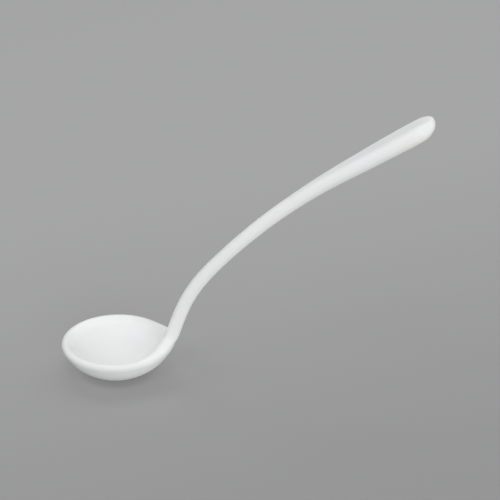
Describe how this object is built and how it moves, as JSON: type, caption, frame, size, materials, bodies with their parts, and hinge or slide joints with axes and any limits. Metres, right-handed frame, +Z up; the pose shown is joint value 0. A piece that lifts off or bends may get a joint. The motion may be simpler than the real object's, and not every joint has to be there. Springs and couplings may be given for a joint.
{
  "type": "serving ladle",
  "caption": "Small glazed porcelain serving ladle: a round bowl with a soft rolled lip and a flat foot, its wall sweeping up into a slim bowed handle that swells to a flat rounded grip.",
  "frame": {"origin": "middle of the flat foot under the bowl", "axes": "+Z up out of the bowl, +X from the bowl towards the end of the handle"},
  "size_m": [0.2016, 0.06, 0.1672],
  "materials": {
    "bowl_porcelain": "glossy white glaze, bare on the foot",
    "handle_porcelain": "glossy white glaze",
    "slip_porcelain": "bare fired clay"
  },
  "bodies": {
    "root": {"bowl": "bowl_porcelain", "handle": "handle_porcelain", "luting_slip": "slip_porcelain"}
  },
  "joints": []
}
